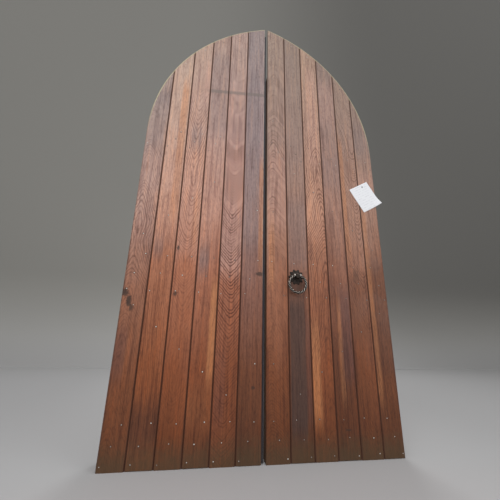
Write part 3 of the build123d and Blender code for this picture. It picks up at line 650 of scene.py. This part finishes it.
class DoorTag(bpy.types.PropertyGroup):
    width: FloatProperty(name="Width", description="Width of the card", default=0.15, unit="LENGTH")
    height: FloatProperty(name="Height", description="Height of the card", default=0.18, unit="LENGTH")
    tilt: FloatProperty(
        name="Tilt", description="How far the card hangs askew", default=math.radians(30), subtype="ANGLE"
    )
    curl_start: FloatProperty(
        name="Curl start", description="From the middle to the curl", default=0.058, unit="LENGTH"
    )
    curl_radius: FloatProperty(
        name="Curl radius", description="Radius of the curl", default=0.11, unit="LENGTH"
    )
    line_pitch: FloatProperty(
        name="Line pitch", description="Distance of the ruled lines", default=0.016, unit="LENGTH"
    )
    paper_colour: FloatVectorProperty(
        name="Card", description="Colour of the card", default=(0.76, 0.77, 0.80), subtype="COLOR"
    )


class DoorStage(bpy.types.PropertyGroup):
    floor_colour: FloatVectorProperty(
        name="Floor", description="Colour of the floor", default=(0.455, 0.452, 0.458), subtype="COLOR"
    )
    back_colour: FloatVectorProperty(
        name="Backdrop", description="Colour of the backdrop", default=(0.275, 0.268, 0.248), subtype="COLOR"
    )
    key_power: FloatProperty(
        name="Key lamp", description="Power of the large lamp", default=150.0, unit="POWER"
    )
    sky: FloatProperty(name="Sky", description="Strength of the even light all round", default=0.72)


# Shapes


def outline_height(x):
    """Height of the arch over a place along the door: the springing plus the circle's height there."""
    return SPRING_Z + np.sqrt(np.maximum(ARCH_RADIUS**2 - (x - ARCH_X) ** 2, 0))


def nail_places():
    """Where the right leaf's nails are, as X and Z: three to a ledge on each board, a few millimetres off
    their lines, and then those into the braces, the rib and the meeting stile."""
    below_arch, beside_gap = 0.052, 0.038
    places = []
    for index in range(6):
        x0 = EDGE_X + index * BOARD
        for z0, z1 in LEDGES:
            for across, up in ((0.84, 0.09), (0.56, 0.42), (0.27, 0.80)):
                stray = 0.005 * math.sin(2.4 * index + 13 * z0 + 9 * up)
                places.append((x0 + across * BOARD + stray, z0 + up * (z1 - z0) - 0.6 * stray))
        if index:
            x = x0 + 0.45 * BOARD
            share = (x - EDGE_X - STILE) / BRACE_RUN
            places += [(x, LEDGES[0][1] + LOWER_RISE * share), (x, LEDGES[2][0] - UPPER_RISE * share)]
        if 0 < index < 5:
            places.append((x, float(outline_height(x)) - below_arch))
    places += [(EDGE_X + beside_gap, z) for z in (0.455, 1.33, 2.01, 2.38)]
    return np.array(places)


def heads(places, radius, share, y, columns):
    """Shells of heads at places of X and Z: circles of radius times each share, at the depths in y."""
    angle = circle(columns)
    grid = np.zeros((len(places), len(share), columns, 3))
    grid[..., 0] = places[:, 0, None, None] + radius * share[:, None] * np.cos(angle)
    grid[..., 1] = y
    grid[..., 2] = places[:, 1, None, None] + radius * share[:, None] * np.sin(angle)
    return shell(grid)


def nail_heads(places, radius, rise):
    """Domes: height is rise times 1 - share squared, and the rim goes a little into the wood. With them comes
    1 - share at each corner."""
    columns = 10
    share = np.array([1.0, 0.97, 0.8, 0.55, 0.28])
    height = rise * (1 - share**2)
    height[0] = -0.0006
    wobble = 1 + 0.16 * np.sin(7.1 * np.arange(len(places)) + 2.0)[:, None, None]
    high = np.tile(np.append(np.repeat(1 - share, columns), [0.0, 1.0]), len(places))
    return heads(places, wobble * radius, share, FRONT_Y - height[:, None], columns), high


def screw_heads(places, radius, seat_y):
    """Slotted heads: height is 0.35 radius times 1 - 0.8 share squared, less a trench 0.22 radius deep that
    is turned a different way on each screw."""
    columns = 28
    share = np.concatenate([[1.0, 1.0, 0.92], np.linspace(0.85, 0.06, 9)])
    turn = 2.3 * np.arange(len(places))[:, None, None]
    height = 0.35 * radius * (1 - 0.8 * share**2)[:, None] * np.ones(columns)
    height[0] = -0.0004
    across = share[:, None] * radius * np.sin(circle(columns) - turn)
    in_slot = (np.abs(across) < 0.14 * radius) & (share[:, None] < 0.99)
    return heads(places, radius, share, seat_y + np.where(in_slot, height - 0.22 * radius, height), columns)


def rope_ring(settings):
    """The twisted ring. Along the ring the middle line is a circle from 22 to 338 degrees, counted from the
    top, and round it the bar's radius goes between waist and bar as |cos|, to the power 1.1, of half the
    strands times the angle less the twist. A turned knuckle closes each end."""
    rows, columns, knuckle_columns = 340, 40, 48
    share = np.linspace(0, 1, rows)
    angle = RING_OPENING + share * (2 * np.pi - 2 * RING_OPENING)
    around = circle(columns)
    twist = 2 * np.pi * settings.turns * share
    lobe = np.abs(np.cos(settings.strands / 2 * (around[None] - twist[:, None]))) ** 1.1
    radius = settings.bar_waist + (settings.bar_radius - settings.bar_waist) * lobe
    out = np.stack([np.sin(angle), np.zeros(rows), np.cos(angle)], -1)
    centre = np.array([HANDLE.x, RING_Y, PIVOT_Z - settings.ring_radius]) + settings.ring_radius * out
    grid = centre[:, None] + out[:, None] * (radius * np.cos(around))[..., None]
    grid[..., 1] += radius * np.sin(around)
    outer = 0.5 + 0.5 * np.cos(around)[None] * np.ones((rows, 1))
    # The second number is the lobe: its crests show bright, partly wear and partly painted glints
    wear_and_glint = [np.append(outer.ravel(), [0, 0]), np.append(lobe.ravel(), [0, 0])]
    parts = [shell(grid[None])]
    knuckle = [(0.0045, -0.0065), (0.0045, 0), (0.0076, 0)]
    knuckle += [(0.0085, 0.0012), (0.0085, 0.0078), (0.0076, 0.009)]
    # The knuckles' barrels are set high so they show bright: partly wear, partly painted glints along the
    # ring's top
    rubbed = np.append(np.repeat([0, 0, 0.6, 1.0, 1.0, 0.8], knuckle_columns), [0, 0.5])
    for side in (-1, 1):
        origin = (HANDLE.x + side * 0.0124, RING_Y, PIVOT_Z)
        parts.append(shell(turned(knuckle, origin, (side, 0, 0), (0, 0, 1), knuckle_columns)[None]))
        wear_and_glint = [np.append(wear_and_glint[0], np.full(len(rubbed), 0.5)), np.append(wear_and_glint[1], rubbed)]
    return joined(*parts), np.stack(wear_and_glint, -1)


def boss():
    """The turned boss: flange, neck and ball on one profile, with the ball cut flat where the ring's knuckles
    run, by holding X within 12 mm of the middle. Its rim is rubbed bright, and its upper front is painted
    bright as a highlight."""
    flange = [(0.0086, 0.0073), (0.0178, 0.0073), (0.0188, 0.0082), (0.0188, 0.0095), (0.0175, 0.0103)]
    neck = [(0.013, 0.0108), (0.012, 0.012)]
    ball = [(0.0155 * math.cos(a), 0.026 + 0.0155 * math.sin(a)) for a in arc(-39, 43, 16)]
    crown = [(0.0095, 0.0373), (0.0060, 0.0376), (0.0030, 0.0377)]
    profile = np.array(flange + neck + ball + crown)
    flat = 0.012
    grid = turned(profile, (HANDLE.x, FRONT_Y, HANDLE.z), (0, -1, 0), (1, 0, 0), 64)
    ahead = profile[:, 1] > 0.0115
    held = np.clip(grid[..., 0], HANDLE.x - flat, HANDLE.x + flat)
    grid[..., 0] = np.where(ahead[:, None], held, grid[..., 0])
    corners, faces = shell(grid[None])
    high = np.clip((np.hypot(corners[:, 0] - HANDLE.x, corners[:, 2] - HANDLE.z) - 0.009) / 0.009, 0, 1)
    # Painted highlight: the boss's upper front is made bright like a glint
    top_glint = np.clip((corners[:, 2] - HANDLE.z - 0.004) / 0.008, 0, 1) * (corners[:, 1] < FRONT_Y - 0.012)
    return corners, faces, np.stack([high, np.maximum(0.1 + 0.55 * high, top_glint)], -1)


def rose(settings):
    """The rose: pointed petals round a dome. A petal is 11.8 mm wide each side at 30 mm from the middle and
    narrows as 1 - t squared to its point. Its face has a rib along the middle and sinks to the edge."""
    columns, hole, root, tip, seat = 320, 0.0082, 0.033, 0.0475, 0.0002
    angle = circle(columns)
    pitch = 2 * np.pi / settings.petals
    off = np.abs(angle % pitch - pitch / 2)
    reach = np.linspace(root, tip, 150)[:, None]
    along = reach * np.cos(off)
    half_width = 0.0118 * (1 - np.clip((along - 0.03) / 0.0175, 0, 1) ** 2)
    outline = np.where(reach * np.sin(off) <= half_width, reach, root).max(0)
    share = np.array([0.0, 0.1, 0.2, 0.35, 0.5, 0.62, 0.72, 0.8, 0.87, 0.93, 0.97, 1.0])[:, None]
    radius = hole + share * (outline - hole)
    across = np.clip(radius * np.sin(off) / 0.01, 0, 1)
    dome = 0.0035 + 0.0035 * np.clip((0.028 - radius) / 0.014, 0, 1) ** 0.8
    rib = 0.0013 * np.exp(-((across / 0.16) ** 2)) * np.clip((radius - 0.022) / 0.01, 0, 1)
    edge = 1 - np.clip((share - 0.82) / 0.18, 0, 1) ** 2 * 0.62
    height = (dome - 0.0013 * across * (radius > 0.02)) * edge + rib * (1 - 0.8 * share**6)
    top = np.stack([radius, height], -1)
    back = [np.stack([side, np.full(columns, seat)], -1) for side in (outline, np.full(columns, hole))]
    ring = np.concatenate([top, back, top[:1]])
    x, z = HANDLE.x + ring[..., 0] * np.sin(angle), HANDLE.z + ring[..., 0] * np.cos(angle)
    grid = np.stack([x, FRONT_Y - ring[..., 1], z], -1)
    corners, faces = shell(grid[None], caps=False)
    lift = np.clip((ring[..., 1] - 0.003) / 0.004, 0, 1).ravel()
    return corners, faces, np.stack([lift, 0.1 + 0.45 * lift], -1)


def tag_sheet(settings):
    """The card: 0.3 mm in front of the boards, rolled forwards at curl_radius past curl_start, along the line
    to its lower outer corner, with soft waves of less than a millimetre away from the tack."""
    low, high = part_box("paper_tag")
    half_width, half_height = settings.width / 2, settings.height / 2
    reach = half_width * math.cos(settings.tilt) + half_height * math.sin(settings.tilt)
    centre = np.array([high.x - reach, FRONT_Y - 0.0003, (low.z + high.z) / 2])
    a, b = np.meshgrid(np.linspace(-half_width, half_width, 41), np.linspace(-half_height, half_height, 49))
    x = a * math.cos(settings.tilt) - b * math.sin(settings.tilt)
    z = a * math.sin(settings.tilt) + b * math.cos(settings.tilt)
    corner = math.atan2(-half_height, half_width) + settings.tilt
    line = np.array([math.cos(corner), math.sin(corner)])
    s = x * line[0] + z * line[1]
    turn = np.maximum(s - settings.curl_start, 0) / settings.curl_radius
    shift = np.where(turn > 0, settings.curl_start + settings.curl_radius * np.sin(turn) - s, 0)
    forward = settings.curl_radius * (1 - np.cos(turn))
    from_tack = np.clip(1 - (b + half_height) / settings.height, 0, 1)
    wave = 0.00045 * (1 + np.sin(55 * a + 20 * b + 1.0)) * from_tack
    x, y, z = centre[0] + x + shift * line[0], centre[1] - forward - wave, centre[2] + z + shift * line[1]
    return shell(np.stack([x, y, z], -1)[None], around=False, caps=False)


# Operators


class DOOR_OT_boards(bpy.types.Operator):
    """Gives each board of both leaves its own stained and weathered wood"""

    bl_idname = "door.boards"
    bl_label = "Boards"

    def execute(self, context):
        for side, name in ((-1, "left"), (1, "right")):
            for index in range(6):
                finish_node(f"{name}_board_{index + 1}", board_wood(side, index, context.scene.door_wood))
        return {"FINISHED"}


class DOOR_OT_frame(bpy.types.Operator):
    """Gives ledges, braces, stiles and ribs their timber, and the closing strip its paint"""

    bl_idname = "door.frame_timber"
    bl_label = "Timber behind"

    def execute(self, context):
        settings = context.scene.door_wood
        level = math.pi / 2
        lower = math.atan2(BRACE_RUN, LOWER_RISE)
        upper = math.atan2(BRACE_RUN, UPPER_RISE)
        turns = {"bottom_ledge": level, "middle_ledge": level, "upper_ledge": level, "meeting_stile": 0.0}
        for side, name in ((-1, "left"), (1, "right")):
            slanting = {"head_rib": -side * 0.5, "lower_brace": -side * lower, "upper_brace": side * upper}
            pieces = {**turns, **slanting}
            for number, (kind, turn) in enumerate(pieces.items()):
                seed = 2.3 * number + 5.1 * side + 9
                finish_node(f"{name}_{kind}", frame_wood(f"frame_wood_{name}_{kind}", turn, seed, settings))
        finish_node("left_closing_strip", strip_paint(settings))
        return {"FINISHED"}


class DOOR_OT_ironwork(bpy.types.Operator):
    """Gives hinges, bolts, latch and plates their forged iron"""

    bl_idname = "door.ironwork"
    bl_label = "Ironwork"

    def execute(self, context):
        dark, pale, rust = (0.022, 0.02, 0.019), (0.075, 0.07, 0.065), (0.07, 0.03, 0.016)
        black = forged_iron("black_iron", dark, pale, rust, 0.15)
        dark, pale, rust = (0.06, 0.055, 0.05), (0.2, 0.185, 0.17), (0.09, 0.045, 0.025)
        rubbed = forged_iron("rubbed_iron", dark, pale, rust, 0.25)
        moving = ("bolt_rod", "latch_bar", "latch_crank", "spindle")
        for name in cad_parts:
            if any(word in name for word in moving):
                finish_node(name, rubbed)
            elif any(word in name for word in ("band", "pintle", "bolt_plate", "lock_plate", "keeper")):
                finish_node(name, black)
        finish_node("tag_tack", rubbed)
        return {"FINISHED"}


class DOOR_OT_handle(bpy.types.Operator):
    """Makes the twisted ring, its boss and the rose"""

    bl_idname = "door.handle"
    bl_label = "Ring handle"

    def execute(self, context):
        settings = context.scene.door_handle
        iron = iron_wear_and_glints("handle_iron", settings.dark, settings.bright)
        (corners, faces), wear_and_glint = rope_ring(settings)
        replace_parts(piece("rope_ring", corners, faces, iron, "ring", wear_and_glint=wear_and_glint), "twisted_ring")
        corners, faces, wear_and_glint = boss()
        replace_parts(piece("turned_boss", corners, faces, iron, "handle", wear_and_glint=wear_and_glint), "ring_boss")
        corners, faces, wear_and_glint = rose(settings)
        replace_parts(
            piece("petal_rose", corners, faces, iron, "right_leaf", wear_and_glint=wear_and_glint), "handle_rose"
        )
        return {"FINISHED"}


class DOOR_OT_nails(bpy.types.Operator):
    """Drives the nails that hold the boards to the timber behind"""

    bl_idname = "door.nails"
    bl_label = "Nails"

    def execute(self, context):
        settings = context.scene.door_nails
        steel = nail_steel("nail_steel")
        right = nail_places()
        clear = np.hypot(right[:, 0] - HANDLE.x, right[:, 1] - HANDLE.z) > 0.055  # of the rose
        for side, name in ((-1, "left"), (1, "right")):
            places = right.copy() if side < 0 else right[clear]
            places[:, 0] = side * places[:, 0]
            (corners, faces), high = nail_heads(places, settings.radius, settings.rise)
            each = len(high) // len(places)
            # How strongly each nail's middle is painted bright as a glint, less on the right leaf
            bright = np.repeat(0.5 - 0.15 * side + 0.4 * np.sin(5.3 * np.arange(len(places)) + side), each)
            wear_and_glint = np.stack([bright, high], -1)
            piece(f"{name}_nails", corners, faces, steel, f"{name}_leaf", wear_and_glint=wear_and_glint)
        dome = [(settings.screw_radius * a, 0.0014 * (1 - a**2)) for a in (1.0, 0.85, 0.6, 0.3)]
        head = [(0.004, -0.0004), *dome]
        seats = [(-EDGE_X, FRONT_Y + 0.010, z) for z in PIN_HEIGHTS]
        corners, faces = shell(np.stack([turned(head, seat, (1, 0, 0), (0, 0, 1), 16) for seat in seats]))
        # Both numbers 1: the pins' middles are painted fully bright as glints
        wear_and_glint = np.ones((len(corners), 2))
        piece("meeting_edge_pins", corners, faces, steel, "left_leaf", wear_and_glint=wear_and_glint)
        return {"FINISHED"}


class DOOR_OT_screws(bpy.types.Operator):
    """Sets slotted screws in the plates on the back"""

    bl_idname = "door.screws"
    bl_label = "Screws"

    def execute(self, context):
        radius = context.scene.door_nails.screw_radius
        steel = forged_iron("screw_steel", (0.05, 0.046, 0.042), (0.2, 0.18, 0.16), (0.1, 0.045, 0.022), 0.25)
        plates = (("left_latch_keeper", 0.0075, "left_leaf"), ("lock_plate", 0.010, "right_leaf"))
        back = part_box("lock_plate")[0].y
        for node, margin, body in plates:
            low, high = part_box(node)
            sides, ends = (low.x + margin, high.x - margin), (low.z + margin, high.z - margin)
            places = np.array([(x, z) for x in sides for z in ends])
            corners, faces = screw_heads(places, radius, back + LATCH_PLATE)
            piece(f"{node}_screws", corners, faces, steel, body)
        low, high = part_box("left_lower_bolt_plate")
        rows_up = [low.z + 0.0065, low.z + 0.045, high.z - 0.045, high.z - 0.0065]
        low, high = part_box("left_upper_bolt_plates")
        rows_up += [low.z + 0.03, (low.z + high.z) / 2 - 0.045, high.z - 0.03]
        rod = sum(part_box("left_upper_bolt_rod"), Vector()).x / 2
        small, aside = 0.0036, 0.0165
        places = np.array([(rod + offset, z) for z in rows_up for offset in (-aside, aside)])
        corners, faces = screw_heads(places, small, back + BOLT_PLATE)
        piece("bolt_plate_screws", corners, faces, steel, "left_leaf")
        return {"FINISHED"}


class DOOR_OT_tag(bpy.types.Operator):
    """Makes the card with its curled corner"""

    bl_idname = "door.tag"
    bl_label = "Card tag"

    def execute(self, context):
        settings = context.scene.door_tag
        corners, faces = tag_sheet(settings)
        card = piece("card_tag", corners, faces, tag_paper(settings), "right_leaf")
        thick = card.modifiers.new("thickness", "SOLIDIFY")
        thick.thickness = 0.0003
        thick.offset = 0.0
        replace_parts(card, "paper_tag")
        return {"FINISHED"}


class DOOR_OT_stage(bpy.types.Operator):
    """Sets up the floor, the backdrop, the light and the camera"""

    bl_idname = "door.stage"
    bl_label = "Studio"

    def execute(self, context):
        settings = context.scene.door_stage
        floor(settings)
        light(context, settings)
        camera(context)
        return {"FINISHED"}


def finish_node(name, material):
    """Puts a material on a node of the frame in place of its plain one."""
    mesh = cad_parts[name].data
    mesh.materials.clear()
    mesh.materials.append(material)


def floor(settings):
    """Floor and backdrop in one sweep: flat, then a quarter circle, then upright. The floor's colour fades
    into the backdrop's. Both have painted shade that darkens them to the right, and the floor has painted
    shade towards its sides."""
    front, bend, radius, reach = -9.0, 4.0, 2.0, 30.0
    quarter = arc(0, 90, 24)
    y = np.concatenate([[front, bend], bend + radius * np.sin(quarter), [bend + radius]])
    z = np.concatenate([[0.0, 0.0], radius - radius * np.cos(quarter), [reach]])
    x = np.linspace(-reach, reach, 3)
    grid = np.stack(np.broadcast_arrays(x[None], y[:, None], z[:, None]), -1)
    corners, faces = shell(grid[None], around=False, caps=False)
    r = Recipe("studio_sweep")
    px, py, pz = r.split(r.place)
    up = r.fade(r.plus(py, pz), 2.4, 8.2)
    colour = r.mix(up, settings.floor_colour, settings.back_colour)
    # Painted shade: darker to the right, over the floor and the backdrop
    aside = r.times(r.fade(px, -1.5, 6.0, 0.0, 0.88), r.fade(pz, 0.0, 2.5, 0.3, 1.0))
    colour = r.mix(aside, colour, tuple(0.5 * c for c in settings.back_colour))
    # Painted shade: the floor darker towards its sides
    edge = r.times(r.fade(r.math("ABSOLUTE", px), 0.6, 1.9), r.fade(pz, 0.6, 0.0, 0.0, 0.25))
    colour = r.mix(edge, colour, tuple(0.5 * c for c in settings.floor_colour))
    material = r.finish(colour, 0.8)
    mesh = bpy.data.meshes.new("studio_sweep")
    mesh.from_pydata(corners.tolist(), [], faces)
    mesh.polygons.foreach_set("use_smooth", np.ones(len(mesh.polygons), bool))
    mesh.materials.append(material)
    sweep = bpy.data.objects.new("studio_sweep", mesh)
    bpy.context.scene.collection.objects.link(sweep)


def light(context, settings):
    """A broad lamp above and in front, to the left, weaker ones at the right and behind, and an even sky."""
    world = bpy.data.worlds.new("studio_sky")
    world.use_nodes = True
    world.node_tree.nodes["Background"].inputs["Color"].default_value = (1, 1, 1, 1)
    world.node_tree.nodes["Background"].inputs["Strength"].default_value = settings.sky
    context.scene.world = world
    lamps = (
        ("key_lamp", (-1.6, -4.2, 4.6), (0, 0, 1.3), 4.0, settings.key_power),
        ("fill_lamp", (3.6, -3.4, 2.0), (0, 0, 1.2), 2.5, 45.0),
        ("back_lamp", (1.6, 4.6, 4.4), (0, 0, 1.2), 3.0, 110.0),
    )
    for name, place, target, size, power in lamps:
        lamp = bpy.data.lights.new(name, "AREA")
        lamp.shape = "SQUARE"
        lamp.size = size
        lamp.energy = power
        made = bpy.data.objects.new(name, lamp)
        made.location = place
        made.rotation_euler = (Vector(target) - Vector(place)).to_track_quat("-Z", "Y").to_euler()
        context.scene.collection.objects.link(made)


def camera(context):
    """The photograph's viewpoint: low, close and a little left, looking up with a wide lens."""
    place = (-0.3419, -1.5956, 0.5966)
    pitch, yaw, roll = math.radians(16.788), math.radians(-9.183), math.radians(1.288)
    ahead = Vector((-math.sin(yaw) * math.cos(pitch), math.cos(yaw) * math.cos(pitch), math.sin(pitch)))
    level = Vector((math.cos(yaw), math.sin(yaw), 0))
    plumb = Vector((math.sin(pitch) * math.sin(yaw), -math.sin(pitch) * math.cos(yaw), math.cos(pitch)))
    right = math.cos(roll) * level + math.sin(roll) * plumb
    up = -math.sin(roll) * level + math.cos(roll) * plumb
    data = bpy.data.cameras.new("photo_camera")
    data.sensor_width = 36.0
    data.lens = 20.36
    made = bpy.data.objects.new("photo_camera", data)
    made.matrix_world = Matrix.Translation(place) @ Matrix((right, up, -ahead)).transposed().to_4x4()
    context.scene.collection.objects.link(made)
    context.scene.camera = made
    context.scene.view_settings.view_transform = "Standard"


SETTINGS = {
    "door_wood": DoorWood,
    "door_nails": DoorNails,
    "door_handle": DoorHandle,
    "door_tag": DoorTag,
    "door_stage": DoorStage,
}
OPERATORS = (
    DOOR_OT_boards,
    DOOR_OT_frame,
    DOOR_OT_ironwork,
    DOOR_OT_handle,
    DOOR_OT_nails,
    DOOR_OT_screws,
    DOOR_OT_tag,
    DOOR_OT_stage,
)


class DOOR_PT_pieces(bpy.types.Panel):
    """Lists the door's pieces and their settings"""

    bl_idname = "DOOR_PT_pieces"
    bl_label = "Arched door"
    bl_space_type = "VIEW_3D"
    bl_region_type = "UI"
    bl_category = "Door"

    def draw(self, context):
        for operator in OPERATORS:
            self.layout.operator(operator.bl_idname)
        for name, group in SETTINGS.items():
            box = self.layout.box()
            for key in group.__annotations__:
                box.prop(getattr(context.scene, name), key)


def register():
    for kind in (*SETTINGS.values(), *OPERATORS, DOOR_PT_pieces):
        bpy.utils.register_class(kind)
    for name, group in SETTINGS.items():
        setattr(bpy.types.Scene, name, PointerProperty(type=group))


def unregister():
    for name in SETTINGS:
        delattr(bpy.types.Scene, name)
    for kind in (DOOR_PT_pieces, *reversed(OPERATORS), *reversed(SETTINGS.values())):
        bpy.utils.unregister_class(kind)


def main():
    register()
    for operator in OPERATORS:
        group, name = operator.bl_idname.split(".")
        getattr(getattr(bpy.ops, group), name)()


if __name__ == "__main__":
    main()
